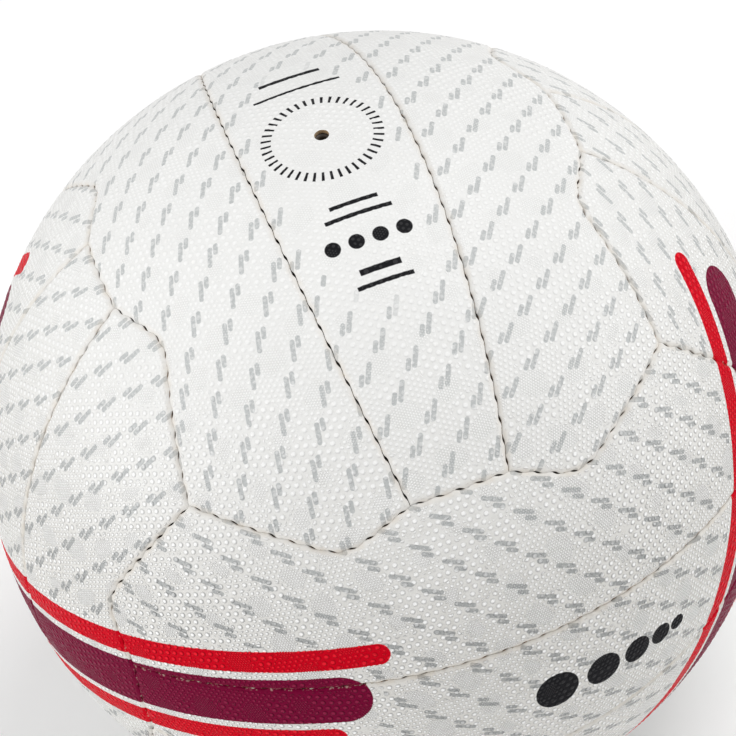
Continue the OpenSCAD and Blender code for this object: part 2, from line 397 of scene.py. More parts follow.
def rim_offset(outline, near, places):
    """Where a panel's rim lies against its seam's line: outwards is positive"""
    offset = np.zeros(len(near))
    for i, seam in enumerate(outline.seams):
        mine = outline.owner[near] == i
        gap = SEAM_GAPS[seam.kind]
        phase = seam.phase(places[mine])
        turn = 2 * np.pi * phase
        stitch = np.floor(phase)
        # No two gaps in a row are alike
        uneven = 0.8 + 0.2 * np.sin(2.4 * stitch) * np.cos(1.3 * stitch + 0.7)
        opened = np.maximum(0, -np.cos(turn)) ** gap["short"] * uneven
        swing = gap["swing"] * np.sin(turn) * uneven
        width = gap["tight"] + gap["open"] * opened
        # The line swings towards the seam's outer side, which is outwards for a panel inside it
        offset[mine] = -seam.panel_side * swing - width / 2
    return offset


# Building a panel

def deselect_all():
    if bpy.context.object and bpy.context.object.mode != "OBJECT":
        bpy.ops.object.mode_set(mode="OBJECT")
    bpy.ops.object.select_all(action="DESELECT")


def make_active(obj):
    deselect_all()
    obj.select_set(True)
    bpy.context.view_layer.objects.active = obj


def read_points(mesh):
    co = np.empty(len(mesh.vertices) * 3)
    mesh.vertices.foreach_get("co", co)
    return co.reshape(-1, 3)


def write_points(mesh, points):
    mesh.vertices.foreach_set("co", np.ascontiguousarray(points, dtype=np.float32).ravel())
    mesh.update()


def face_centres(mesh):
    co = np.empty(len(mesh.polygons) * 3)
    mesh.polygons.foreach_get("center", co)
    return co.reshape(-1, 3)


def select_faces(mesh, chosen):
    """Selects these faces and nothing else, for the next step in edit mode"""
    mesh.vertices.foreach_set("select", np.zeros(len(mesh.vertices), bool))
    mesh.edges.foreach_set("select", np.zeros(len(mesh.edges), bool))
    mesh.polygons.foreach_set("select", chosen)


def edit(mode="FACE"):
    bpy.ops.object.mode_set(mode="EDIT")
    bpy.ops.mesh.select_mode(type=mode)


def edit_all(mode="FACE"):
    edit(mode)
    bpy.ops.mesh.select_all(action="SELECT")


def leave_edit():
    bpy.ops.object.mode_set(mode="OBJECT")


def smooth(piece, sharpest):
    """Smooth shading but for edges that are sharper than an angle in degrees"""
    make_active(piece)
    bpy.ops.object.shade_smooth_by_angle(angle=math.radians(sharpest))


def add_object(name, data):
    obj = bpy.data.objects.new(name, data)
    bpy.context.scene.collection.objects.link(obj)
    return obj


def stand_in(piece, node):
    """The piece stands for a CAD node: it hangs from the root's body, and the node is hidden"""
    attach(piece, "root")
    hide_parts(node)


STRIP_TILT = {"centre": 0.0, "side": math.radians(23.8)}
# Half the length and half the width of the sheet that a panel is cut from, as turns about the ball
SHEET_REACH = {"centre": (math.radians(57), math.radians(14)), "side": (math.radians(60), math.radians(17))}
ROW_SHARE = math.sqrt(3) / 2


def unwrap(points, tilt):
    """Across and along a sheet that was wrapped round the ball, in metres"""
    d = unit(points)
    x = d[:, 0] * math.cos(tilt) - d[:, 2] * math.sin(tilt)
    z = d[:, 0] * math.sin(tilt) + d[:, 2] * math.cos(tilt)
    return BALL_R * np.arcsin(np.clip(x, -1, 1)), BALL_R * np.arctan2(d[:, 1], z)


def wrapped_sheet(name, kind, step):
    """A staggered sheet of triangles, wrapped round the ball under a panel"""
    along, across = SHEET_REACH[kind]
    columns = 2 * math.ceil(along * BALL_R / step)
    rows = 12 * math.ceil(across * BALL_R / (step * ROW_SHARE) / 6)
    deselect_all()
    bpy.ops.mesh.primitive_grid_add(x_subdivisions=columns, y_subdivisions=rows, size=1)
    sheet = bpy.context.object
    sheet.name = sheet.data.name = name
    flat = read_points(sheet.data)
    row = np.rint((flat[:, 1] + 0.5) * rows) - rows // 2
    column = np.rint((flat[:, 0] + 0.5) * columns) - columns // 2
    flat[:, 0] = (column + 0.5 * (row % 2)) * step
    flat[:, 1] = row * step * ROW_SHARE
    write_points(sheet.data, flat)
    edit_all()
    bpy.ops.mesh.quads_convert_to_tris(quad_method="SHORTEST_DIAGONAL")
    leave_edit()
    lat, lon = flat[:, 1] / BALL_R, flat[:, 0] / BALL_R
    tilt = STRIP_TILT[kind]
    x, y, z = np.sin(lat), np.cos(lat) * np.sin(lon), np.cos(lat) * np.cos(lon)
    turned = np.stack([x * math.cos(tilt) + z * math.sin(tilt), y,
                       z * math.cos(tilt) - x * math.sin(tilt)], axis=1)
    write_points(sheet.data, turned * BALL_R)
    return sheet


def cut_along_seams(sheet, outline, step):
    """Bisects the sheet along every seam, and deletes what lies outside"""
    mesh, polygon = sheet.data, outline.polygon
    # Only faces this close to a stretch of seam are cut by it: beside it, and past its ends
    beside, past = 1.2 * step / BALL_R, 1.5 * step / BALL_R
    make_active(sheet)
    for a, b in zip(polygon, np.roll(polygon, -1, axis=0)):
        if arc_length(a, b) < PLACE_SLACK:
            continue
        normal = unit(np.cross(a, b))
        ahead = np.cross(normal, a)
        length = math.acos(float(a @ b))
        d = unit(face_centres(mesh))
        turn = np.arctan2(d @ ahead, d @ a)
        select_faces(mesh, (np.abs(d @ normal) < beside) & (turn > -past) & (turn < length + past))
        edit()
        bpy.ops.mesh.bisect(plane_co=(0, 0, 0), plane_no=tuple(normal), threshold=1e-7)
        leave_edit()
    select_faces(mesh, ~inside_outline(unit(face_centres(mesh)), polygon))
    edit()
    bpy.ops.mesh.delete(type="FACE")
    leave_edit()


def select_rim(mesh):
    """Selects the open edges of a mesh in edit mode, and nothing else"""
    bpy.ops.mesh.select_all(action="DESELECT")
    bm = bmesh.from_edit_mesh(mesh)
    for edge in bm.edges:
        edge.select = edge.is_boundary
    bm.select_flush_mode()
    bmesh.update_edit_mesh(mesh)


def edit_rim(sheet):
    make_active(sheet)
    edit("EDGE")
    select_rim(sheet.data)


def tidy_rim(sheet, step, refine_w, outline):
    """Merges the slivers that the cuts left, and makes the faces by the seams finer"""
    sliver = 0.22 * step
    edit_rim(sheet)
    bpy.ops.mesh.remove_doubles(threshold=sliver)
    leave_edit()
    if refine_w:
        far, _ = outline.distance(unit(face_centres(sheet.data)))
        select_faces(sheet.data, far < refine_w)
        edit()
        bpy.ops.mesh.subdivide(number_cuts=1)
        leave_edit()


def extruded_rim(sheet, place):
    """Extrudes the open rim and moves the new points to where place puts them"""
    edit_rim(sheet)
    bpy.ops.mesh.extrude_region_move()
    bm = bmesh.from_edit_mesh(sheet.data)
    moved = [v for v in bm.verts if v.select]
    for v, p in zip(moved, place(np.array([v.co for v in moved]))):
        v.co = p
    bmesh.update_edit_mesh(sheet.data)
    leave_edit()


def closed_behind(sheet, radius, spacing, cuts):
    """Thins out the open rim, and closes the shell with a face that follows the ball behind the panel"""
    edit_rim(sheet)
    bpy.ops.mesh.remove_doubles(threshold=spacing)
    select_rim(sheet.data)
    bpy.ops.mesh.edge_face_add()
    bpy.ops.mesh.quads_convert_to_tris(ngon_method="BEAUTY")
    bpy.ops.mesh.subdivide(number_cuts=cuts)
    bm = bmesh.from_edit_mesh(sheet.data)
    for v in bm.verts:
        if v.select:
            v.co = v.co.normalized() * radius
    bmesh.update_edit_mesh(sheet.data)
    bpy.ops.mesh.select_all(action="SELECT")
    bpy.ops.mesh.normals_make_consistent(inside=False)
    leave_edit()


def wall_to(outline, radius, gap, fade):
    """Places a ring of a hem's wall: at a radius, its swing faded towards an even gap"""
    def place(points):
        d = unit(points)
        far, near = outline.distance(d)
        keep = far * fade + gap * (1 - fade)
        foot = unit(d + outline.outs[near] * (far / BALL_R)[:, None])
        return unit(foot - outline.outs[near] * (keep / BALL_R)[:, None]) * radius
    return place


def ring_at(outline, radius, inset):
    """Places a ring at a radius, and that far inside every seam"""
    def place(points):
        return outline.drawn_in(unit(points), inset) * radius
    return place


def store(mesh, name, values):
    """Keeps a number for every point of the mesh"""
    layer = mesh.attributes.get(name) or mesh.attributes.new(name, "FLOAT", "POINT")
    layer.data.foreach_set("value", np.asarray(values, np.float32))


def add_panel_map(mesh, kind):
    """Lays out the panel flat in millimetres: across it and along it"""
    across, along = unwrap(read_points(mesh), STRIP_TILT[kind])
    corner = np.empty(len(mesh.loops), np.int64)
    mesh.loops.foreach_get("vertex_index", corner)
    uv = np.stack([across[corner], along[corner]], axis=1) * TO_MM
    layer = mesh.uv_layers.new(name="panel")
    layer.data.foreach_set("uv", uv.astype(np.float32).ravel())
    mesh.uv_layers.active = layer


# The grip: large, medium and fine dots share one staggered lattice and lie in patches

# The pitch and the radius of the raised dots, in steps of the lattice
LARGE_DOT = (3, 1.25)
MEDIUM_DOT = (2, 0.95)
# Medium dots lie between these two values of the patches, and none within the blend of them
GRIP_SPLIT = (-0.58, 0.13)
GRIP_BLEND = 0.06
# How steeply a dot's side, the roll of a panel's edge and the swing of its rim fall off
DOT_CURVE = 1.2
ROLL_CURVE = 2.2
SWING_CURVE = 1.5
# How far past the bare margin the dots reach their full height
DOT_FADE = 0.5 * MM


def grip_patch(across, along):
    """Which dots lie where: high is large, the middle medium, low fine"""
    a, b = across * TO_MM, along * TO_MM
    wave = np.sin(0.47 * a + 0.18 * b + 1.1 * np.sin(0.13 * b))
    weft = np.sin(0.41 * b - 0.22 * a + 0.9 * np.sin(0.17 * a + 0.6))
    slow = 0.35 * np.sin(0.09 * b + 0.06 * a + 0.4)
    return 0.72 * wave * weft + 0.55 * weft + slow


def lattice_nearest(across, along, pitch):
    """Distance to the nearest point of a staggered lattice, and that point"""
    rows = pitch * 2 * ROW_SHARE
    found = []
    for half in (0.0, 0.5):
        x = (np.rint(along / pitch - half) + half) * pitch
        y = (np.rint(across / rows - half) + half) * rows
        found.append((np.hypot(along - x, across - y), y, x))
    nearer = found[1][0] < found[0][0]
    return [np.where(nearer, second, first) for first, second in zip(*found)]


def dome(share):
    """Height of a dot's rounded side, from 1 at its middle to 0 at its foot"""
    return np.clip(1 - share ** 2, 0, 1) ** DOT_CURVE


def grip_height(across, along, grip):
    """Height of the large and medium dots over the skin"""
    height = np.zeros(len(across))
    for (pitch, reach), tall, low, high in ((LARGE_DOT, grip.large_height, GRIP_SPLIT[1], math.inf),
                                            (MEDIUM_DOT, grip.medium_height, *GRIP_SPLIT)):
        far, y, x = lattice_nearest(across, along, pitch * grip.step)
        patch = grip_patch(y, x)
        there = (patch > low + GRIP_BLEND) & (patch < high - GRIP_BLEND)
        height = np.maximum(height, np.where(there, tall * dome(far / (reach * grip.step)), 0))
    return height


# The rings of a hem's wall: how deep each lies under the rim, and how much of its swing it keeps
HEM_RINGS = ((0.5 * MM, 0.85), (1.3 * MM, 0.25))
# How far a hem's straight part stays inside its seam's line
HEM_GAP = 0.05 * MM
# How close the points of a panel's inner rim stay, and how often the faces that close it are cut
COVER_BACK = (0.9 * MM, 5)
LINING_BACK = (0.5 * MM, 3)
LINING_STEP = 3.0 * MM


def skin_back(sizes, grip):
    """Radius of the back of the rubber skin"""
    return BALL_R - grip.large_height - sizes.skin_t


def cover_panel(name, kind, sizes, grip):
    """A panel of the cover, in its group's frame: dotted skin, rolled edge, hem and back"""
    outline = Outline(kind, sizes)
    sheet = wrapped_sheet(name, kind, grip.step)
    mesh = sheet.data
    cut_along_seams(sheet, outline, grip.step)
    tidy_rim(sheet, grip.step, sizes.roll_w, outline)
    d = unit(read_points(mesh))
    far, near = outline.distance(d)
    far = np.maximum(far, 0)
    across, along = unwrap(d, STRIP_TILT[kind])
    dots = grip_height(across, along, grip) * np.clip((far - grip.margin) / DOT_FADE, 0, 1)
    roll = np.clip(1 - far / sizes.roll_w, 0, 1)
    radius = BALL_R - grip.large_height - sizes.valley_depth * roll ** ROLL_CURVE + dots
    shift = rim_offset(outline, near, outline.place(d, near)) * roll ** SWING_CURVE
    write_points(mesh, unit(d + outline.outs[near] * (shift / BALL_R)[:, None]) * radius[:, None])
    rim_r, hem_r = BALL_R - grip.large_height - sizes.valley_depth, HEM_R + sizes.bond_gap
    for depth, swing in HEM_RINGS:
        extruded_rim(sheet, wall_to(outline, rim_r - depth, HEM_GAP, swing))
    extruded_rim(sheet, wall_to(outline, hem_r, HEM_GAP, 0))
    extruded_rim(sheet, ring_at(outline, hem_r, sizes.skin_t))
    back_r = skin_back(sizes, grip)
    extruded_rim(sheet, ring_at(outline, back_r, sizes.skin_t))
    closed_behind(sheet, back_r, *COVER_BACK)
    points = read_points(mesh)
    far, _ = outline.distance(unit(points))
    deep = rim_r - HEM_GAP - np.linalg.norm(points, axis=1)
    across, along = unwrap(points, STRIP_TILT[kind])
    store(mesh, "rim", np.where(deep > 0, -deep, np.maximum(far, 0)) * TO_MM)
    store(mesh, "patch", grip_patch(across, along))
    add_panel_map(mesh, kind)
    smooth(sheet, 55)
    return sheet


def lining_panel(name, kind, sizes, grip):
    """A panel of laminated cloth, bonded behind its cover panel and turned in with it"""
    outline = Outline(kind, sizes)
    sheet = wrapped_sheet(name, kind, LINING_STEP)
    mesh = sheet.data
    cut_along_seams(sheet, outline, LINING_STEP)
    tidy_rim(sheet, LINING_STEP, 0, outline)
    outer, hem_r = sizes.skin_t + sizes.bond_gap, HEM_R + sizes.bond_gap
    inner, outer_r = outer + sizes.cloth_t, BALL_R - grip.large_height - outer
    inner_r = outer_r - sizes.cloth_t
    write_points(mesh, outline.drawn_in(unit(read_points(mesh)), outer) * outer_r)
    for radius, inset in ((hem_r, outer), (hem_r, inner), (inner_r, inner)):
        extruded_rim(sheet, ring_at(outline, radius, inset))
    closed_behind(sheet, inner_r, *LINING_BACK)
    add_panel_map(mesh, kind)
    smooth(sheet, 40)
    return sheet


def group_turn(face):
    """Carries a group's frame onto its side of the cube"""
    onward = Matrix(((0, 0, 1, 0), (1, 0, 0, 0), (0, 1, 0, 0), (0, 0, 0, 1)))
    turn = Matrix.Identity(4)
    for _ in range(face % 3):
        turn = onward @ turn
    return turn @ Matrix.Rotation(0 if face < 3 else math.pi, 4, "Y")


def own_copy(model, name, turn):
    """A copy with its own mesh, turned into its place"""
    mesh = model.data.copy()
    mesh.name = name
    mesh.transform(turn)
    return add_object(name, mesh)


def remove(obj):
    mesh = obj.data
    bpy.data.objects.remove(obj)
    bpy.data.meshes.remove(mesh)


def panel_copies(models, prefix, slot, material):
    """Lays the centre and side models out over the six groups"""
    pieces = []
    for f, face in enumerate(FACES):
        for s, strip in enumerate(STRIPS):
            turn = group_turn(f) @ Matrix.Rotation(math.pi if strip == "side_b" else 0, 4, "Z")
            model = models["centre" if strip == "centre" else "side"]
            piece = own_copy(model, f"{prefix}_{face}_{strip}", turn)
            # Each panel's own number between -1 and 1, by which its print is shifted
            store(piece.data, "lay", np.full(len(piece.data.vertices), math.sin(1.7 * (3 * f + s) + 0.5)))
            piece.data.materials.append(material)
            stand_in(piece, f"{slot}_{face}_{strip}")
            pieces.append(piece)
    for model in models.values():
        remove(model)
    return pieces


def bore(piece, diameter, wall_material):
    """Bores a round hole through a panel over the valve, with its own finish on the cut wall"""
    deselect_all()
    bpy.ops.mesh.primitive_cylinder_add(vertices=48, radius=diameter / 2, depth=10 * MM,
                                        location=(0, 0, BALL_R))
    drill = bpy.context.object
    make_active(piece)
    cut = piece.modifiers.new("hole", "BOOLEAN")
    cut.operation = "DIFFERENCE"
    cut.solver = "EXACT"
    cut.object = drill
    bpy.ops.object.modifier_apply(modifier=cut.name)
    remove(drill)
    mesh = piece.data
    mesh.materials.append(wall_material)
    for face in mesh.polygons:
        if face.center.xy.length < diameter / 2 - 0.002 * MM and abs(face.normal.z) < 0.2:
            face.material_index = 1


# The thread: the height of a stitch's arch, how much its length is stretched, how many degrees it
# slants, and how much the stitches differ in slant and depth

STITCH_RISE = 0.9 * MM
STITCH_STRETCH = 1.45
STITCH_SLANT = 16
SLANT_SPREAD = 4
DEPTH_SPREAD = 0.12 * MM


def one_stitch(sizes):
    """An arch of thread, as long as it shows: a round spun over half a turn, then stretched"""
    deselect_all()
    bpy.ops.mesh.primitive_circle_add(vertices=6, radius=sizes.thread_d / 2, fill_type="NGON",
                                      location=(0, -STITCH_RISE, 0))
    stitch = bpy.context.object
    edit_all()
    bpy.ops.mesh.spin(steps=7, angle=math.pi, center=(0, 0, 0), axis=(1, 0, 0))
    bpy.ops.mesh.select_all(action="SELECT")
    bpy.ops.transform.resize(value=(1, STITCH_STRETCH, 1))
    bpy.ops.mesh.normals_make_consistent(inside=False)
    leave_edit()
    return stitch


def stitch_frames(seam, turn, sizes, grip):
    """Where the stitches of a seam stand: one at each tight place, slanted over the gap"""
    count = int(round(seam.marks[1][-1]))
    top = BALL_R - grip.large_height - sizes.valley_depth + SEAM_GAPS[seam.kind]["thread"]
    frames = []
    for k in range(1, count):
        place = float(np.interp(k, seam.marks[1], seam.marks[0]))
        at = int(np.argmin(np.abs(seam.places - place)))
        out = seam.points[at]
        way, side = seam.ways[at], seam.outs[at]
        slant = math.radians(STITCH_SLANT + SLANT_SPREAD * math.sin(2.1 * k))
        along = way * math.cos(slant) - side * math.sin(slant)
        base = out * (top - STITCH_RISE - DEPTH_SPREAD * math.sin(1.9 * k))
        rows = np.column_stack([np.cross(along, out), along, out, base]).tolist()
        frames.append(turn @ Matrix([*rows, [0, 0, 0, 1]]))
    return frames


def sewn_piece(name, stitch, frames, material, node):
    """All the stitches of one seam, as one piece of thread"""
    mesh = bpy.data.meshes.new(name)
    bm = bmesh.new()
    for f in frames:
        part = stitch.data.copy()
        part.transform(f)
        bm.from_mesh(part)
        bpy.data.meshes.remove(part)
    bm.to_mesh(mesh)
    bm.free()
    piece = add_object(name, mesh)
    smooth(piece, 60)
    mesh.materials.append(material)
    stand_in(piece, node)


# The bladder and the valve, each spun from the outline of its half section: radius and height

# The bladder's moulded rings: how far apart they lie, half their width, and their depth
RING_EVERY = math.radians(30)
RING_HALF = math.radians(2.2)
RING_DEPTH = 0.15 * MM
# How wide the thinned rims of the patch and the foot are, and how much of their thickness goes
PATCH_FEATHER = (3.5 * MM, 0.75)
FOOT_FEATHER = (5.0 * MM, 0.7)
# The core's grooves: their places under its top, their depth, and half their width
GROOVES = (3 * MM, 5 * MM, 7 * MM, 9 * MM)
GROOVE_DEPTH = 0.3 * MM
GROOVE_HALF = 0.35 * MM


def feathered(inside, width, share):
    """How much of the thickness goes, that far inside a rim"""
    return share * max(0.0, 1 - inside / width) ** 1.5


def arc(radius, start, end, count):
    """Points along a circle round the ball's centre, at turns from the valve's axis"""
    return [(radius * math.sin(a), radius * math.cos(a)) for a in np.linspace(start, end, count)]


def bladder_outline(valve):
    """A thin shell with an opening round the barrel, and shallow moulded rings"""
    outer_r = HEM_R
    inner_r = outer_r - valve.bladder_t
    opening = valve.barrel_d / 2 + valve.slip_gap
    outer = []
    for radius, height in arc(outer_r, math.asin(opening / outer_r), math.pi, 121):
        turn = math.atan2(radius, height)
        off = abs((turn % RING_EVERY) - RING_EVERY / 2)
        share = 1 - RING_DEPTH * max(0.0, 1 - off / RING_HALF) / outer_r
        outer.append((radius * share, height * share))
    return outer + arc(inner_r, math.pi, math.asin(opening / inner_r), 31)


def patch_outline(valve, bond_gap):
    """A washer that follows the bladder, feathered towards its rim"""
    low_r = HEM_R + bond_gap
    hole, rim = valve.barrel_d / 2 + valve.slip_gap, valve.patch_d / 2
    low = arc(low_r, math.asin(hole / low_r), math.asin(rim / low_r), 12)
    high = []
    for radius, height in arc(low_r + valve.patch_t, math.asin(rim / low_r), math.asin(hole / low_r), 24):
        share = 1 - valve.patch_t * feathered(rim - radius, *PATCH_FEATHER) / low_r
        high.append((radius * share, height * share))
    return low + high


def barrel_outline(valve, bond_gap, top):
    """A barrel with a foot under the bladder, bored for the core and its head"""
    bore, head_bore = valve.core_d / 2 + bond_gap, valve.core_head_d / 2 + bond_gap
    barrel, low = valve.barrel_d / 2, top - valve.barrel_len
    foot_r = HEM_R - valve.bladder_t - bond_gap
    shoulder = low + valve.core_head_t + bond_gap
    rim = math.asin(valve.foot_d / 2 / foot_r)
    under = []
    for radius, height in arc(foot_r - valve.foot_t, rim, math.asin((barrel + 0.8 * MM) / foot_r), 14):
        gone = feathered(valve.foot_d / 2 - radius, *FOOT_FEATHER)
        under.append((radius, height + valve.foot_t * gone))
    last = under[-1][1]
    return [(bore, top - 0.5 * MM), (bore + 0.5 * MM, top), (barrel - 0.4 * MM, top),
            (barrel - 0.1 * MM, top - 0.1 * MM), (barrel, top - 0.4 * MM),
            *arc(foot_r, math.asin(barrel / foot_r), rim, 14), *under,
            (barrel + 0.25 * MM, last - 0.25 * MM), (barrel, last - 0.9 * MM),
            (barrel, low + 0.4 * MM), (barrel - 0.4 * MM, low), (head_bore, low),
            (head_bore, shoulder), (bore, shoulder)]


def core_outline(valve, top):
    """A plug with a head at its foot, a funnel and a guide hole for the needle, and grooves"""
    core, head, needle = valve.core_d / 2, valve.core_head_d / 2, valve.needle_d / 2
    low = top - valve.barrel_len
    shoulder, floor = low + valve.core_head_t, top - valve.needle_len
    outline = [(0, floor - 0.6 * MM), (needle * 0.6, floor - 0.35 * MM), (needle, floor),
               (needle, top - 0.7 * MM), (needle + 0.2 * MM, top - 0.25 * MM), (needle + 0.6 * MM, top),
               (core - 0.3 * MM, top), (core - 0.08 * MM, top - 0.08 * MM), (core, top - 0.3 * MM)]
    for at in (top - groove for groove in GROOVES):
        outline += [(core, at + GROOVE_HALF), (core - GROOVE_DEPTH, at), (core, at - GROOVE_HALF)]
    return outline + [(core, shoulder), (head - 0.2 * MM, shoulder), (head, shoulder - 0.2 * MM),
                      (head, low + 0.3 * MM), (head - 0.3 * MM, low), (0, low)]


def turned_piece(name, outline, steps):
    """A round of points set on the outline, then spun about the valve's axis"""
    deselect_all()
    bpy.ops.mesh.primitive_circle_add(vertices=len(outline), radius=BALL_R)
    piece = bpy.context.object
    piece.name = piece.data.name = name
    write_points(piece.data, np.array([(radius, 0.0, height) for radius, height in outline]))
    edit_all("VERT")
    bpy.ops.mesh.spin(steps=steps, angle=2 * math.pi, center=(0, 0, 0), axis=(0, 0, 1))
    bpy.ops.mesh.select_all(action="SELECT")
    bpy.ops.mesh.remove_doubles(threshold=0.002 * MM)
    bpy.ops.mesh.normals_make_consistent(inside=False)
    leave_edit()
    smooth(piece, 35)
    return piece


# Materials. Their patterns are in millimetres.

# How soft a print's edge is on each side
PRINT_SOFT = 0.12
# Half of a pattern's cell in the direction in which it doesn't repeat
NO_WRAP = 500.0
# The scale, detail and roughness of each uneven look
NOISES = {
    "cloud": (0.045, 3.0, 0.5), "mottle": (0.5, 4.0, 0.6), "grain": (3.0, 3.0, 0.6),
    "wear": (1.3, 3.0, 0.7), "chafe": (1.1, 2.0, 0.5), "dust": (0.35, 3.0, 0.6), "fray": (0.9, 2.0, 0.5),
    "fibre": (5.0, 4.0, 0.65), "grime": (0.4, 3.0, 0.6), "soak": (0.12, 3.0, 0.6),
    "bloom": (0.25, 4.0, 0.6), "moulding": (4.0, 3.0, 0.6), "paint": (2.0, 2.0, 0.55),
}


class Nodes:
    """Short calls that add a material's shader nodes and link them"""

    def __init__(self, name):
        self.material = bpy.data.materials.new(name)
        self.material.use_nodes = True
        self.tree = self.material.node_tree
        self.shader = self.tree.nodes["Principled BSDF"]

    def put(self, socket, value):
        """Links another node's output to a socket, or sets the socket's own value"""
        if isinstance(value, bpy.types.NodeSocket):
            self.tree.links.new(value, socket)
        else:
            socket.default_value = (*value, 1.0) if socket.type == "RGBA" else value

    def add(self, kind, inputs=(), **settings):
        """A node with its settings, and its inputs by name or number"""
        node = self.tree.nodes.new(kind)
        for key, value in settings.items():
            setattr(node, key, value)
        for key, value in dict(inputs).items():
            self.put(node.inputs[key], value)
        return node

    def math(self, operation, value, *others):
        """A math node, or one after the other where more than two values meet"""
        for other in others or (0.0,):
            value = self.add("ShaderNodeMath", {0: value, 1: other}, operation=operation).outputs[0]
        return value

    def times(self, *values):
        return self.math("MULTIPLY", *values)

    def plus(self, a, b):
        return self.math("ADD", a, b)

    def minus(self, a, b):
        return self.math("SUBTRACT", a, b)

    def most(self, *values):
        return self.math("MAXIMUM", *values)

    def hypotenuse(self, a, b):
        return self.math("SQRT", self.plus(self.times(a, a), self.times(b, b)))

    def vector(self, operation, *vectors):
        node = self.add("ShaderNodeVectorMath", enumerate(vectors), operation=operation)
        return node.outputs["Value" if operation in ("LENGTH", "DOT_PRODUCT", "DISTANCE") else "Vector"]

    def step(self, value, low, high, start=0.0, end=1.0):
        """A smooth change from start at low to end at high"""
        inputs = {"Value": value, "From Min": low, "From Max": high, "To Min": start, "To Max": end}
        return self.add("ShaderNodeMapRange", inputs, interpolation_type="SMOOTHSTEP").outputs["Result"]

    def fall(self, value, low, high):
        """One up to low, and nothing from high on"""
        return self.step(value, low, high, 1.0, 0.0)

    def within(self, far, radius, soft=PRINT_SOFT):
        """One inside a radius and nothing outside it"""
        return self.fall(far, radius - soft, radius + soft)

    def between(self, value, low, high, soft=PRINT_SOFT):
        """One between two values and nothing outside them"""
        return self.times(self.step(value, low - soft, low + soft), self.within(value, high, soft))

    def noise(self, vector, look):
        inputs = {"Vector": vector, **dict(zip(("Scale", "Detail", "Roughness"), NOISES[look]))}
        return self.add("ShaderNodeTexNoise", inputs).outputs["Fac"]

    def mix(self, factor, a, b):
        """From one colour to another"""
        return self.add("ShaderNodeMix", {"Factor": factor, 6: a, 7: b}, data_type="RGBA").outputs[2]

    def attribute(self, name):
        return self.add("ShaderNodeAttribute", attribute_name=name).outputs["Fac"]

    def bump(self, height, distance, strength):
        inputs = {"Height": height, "Distance": distance, "Strength": strength}
        return self.add("ShaderNodeBump", inputs).outputs["Normal"]

    def split(self, vector):
        """The three numbers of a vector"""
        return self.add("ShaderNodeSeparateXYZ", {0: vector}).outputs

    def place(self):
        """Where a point lies in the ball, in millimetres"""
        place = self.add("ShaderNodeTexCoord").outputs["Object"]
        return self.vector("MULTIPLY", place, (TO_MM, TO_MM, TO_MM))

    def flat_place(self):
        """Where a point lies on its panel laid flat, in millimetres"""
        return self.add("ShaderNodeUVMap", uv_map="panel").outputs["UV"]

    def finish(self, color, roughness, normal=None, specular=0.5):
        values = {"Base Color": color, "Roughness": roughness, "Specular IOR Level": specular}
        if normal is not None:
            values["Normal"] = normal
        for name, value in values.items():
            self.put(self.shader.inputs[name], value)
        return self.material


def scaled(color, *shares):
    """A colour with its red, green and blue scaled, or all three by one share"""
    return tuple(float(c) for c in np.multiply(tuple(color), shares))


def wrapped(n, vector, half):
    """A pattern's coordinates inside its cell, counted from the cell's middle"""
    return n.vector("WRAP", vector, half, tuple(-h for h in half))


def staggered_dots(n, flat, pitch, radius, soft):
    """Round dots on a staggered lattice, 1 on a dot and 0 between them"""
    half = (ROW_SHARE * pitch, pitch / 2, NO_WRAP)
    moved = n.vector("ADD", flat, (half[0], half[1], 0))
    first, second = (n.vector("LENGTH", wrapped(n, v, half)) for v in (flat, moved))
    return n.within(n.math("MINIMUM", first, second), radius, soft)


# The printed dashes: half their cell, their slant and width, and the shift and length of each in a cell
DASH_HALF_CELL = (6.2, 7.0, NO_WRAP)
DASH_SLANT = math.radians(24)
DASH_W = 1.3
DASHES = (((0.0, 0.0), 5.8), ((2.3, 1.3), 3.4), ((6.2, 7.0), 5.8), ((8.5, 8.3), 3.4))


def slanted_dash(n, flat, shift, length):
    """A slanted bar with round ends in each cell, and the middle of the bar that is nearest"""
    local = wrapped(n, n.vector("ADD", flat, (*shift, 0)), DASH_HALF_CELL)
    ahead = n.vector("DOT_PRODUCT", local, (math.sin(DASH_SLANT), math.cos(DASH_SLANT), 0))
    aside = n.vector("DOT_PRODUCT", local, (math.cos(DASH_SLANT), -math.sin(DASH_SLANT), 0))
    past = n.most(n.minus(n.math("ABSOLUTE", ahead), (length - DASH_W) / 2), 0.0)
    return n.within(n.hypotenuse(past, aside), DASH_W / 2), n.vector("SUBTRACT", flat, local)


def away_from_valve(n, place, middle):
    """Nothing on a dash with its middle by the valve's marks, and one on the others"""
    from_marks = n.vector("MULTIPLY", n.vector("ADD", middle, (0, 9.0, 0)), (1 / 18.0, 1 / 47.0, 0))
    beyond = n.step(n.vector("LENGTH", from_marks), 0.99, 1.01)
    x, _, z = n.split(place)
    # Other panels have the same flat coordinates
    return n.most(beyond, n.step(n.math("ABSOLUTE", x), 22.3, 22.5), n.fall(z, 80.0, 81.0))


def dash_print(n, place, flat):
    """The dashes all over the cover, but for those by the valve's marks"""
    dashes = []
    for shift, length in DASHES:
        bar, middle = slanted_dash(n, flat, shift, length)
        dashes.append(n.times(bar, away_from_valve(n, place, middle)))
    return n.most(*dashes)


# Two sets of printed bands. Each has the normal of the great circle that its first band follows,
# the direction of its first end, and the way that it runs from there.
BAND_SETS = (((-0.046, -0.302, -0.952), (-0.251, -0.919, 0.304), (-1.0, 0.2, -0.2)),
             ((0.695, 0.545, -0.466), (0.698, -0.362, 0.618), (0.3, -0.9, -0.6)))
BAND_TURN = math.radians(86)
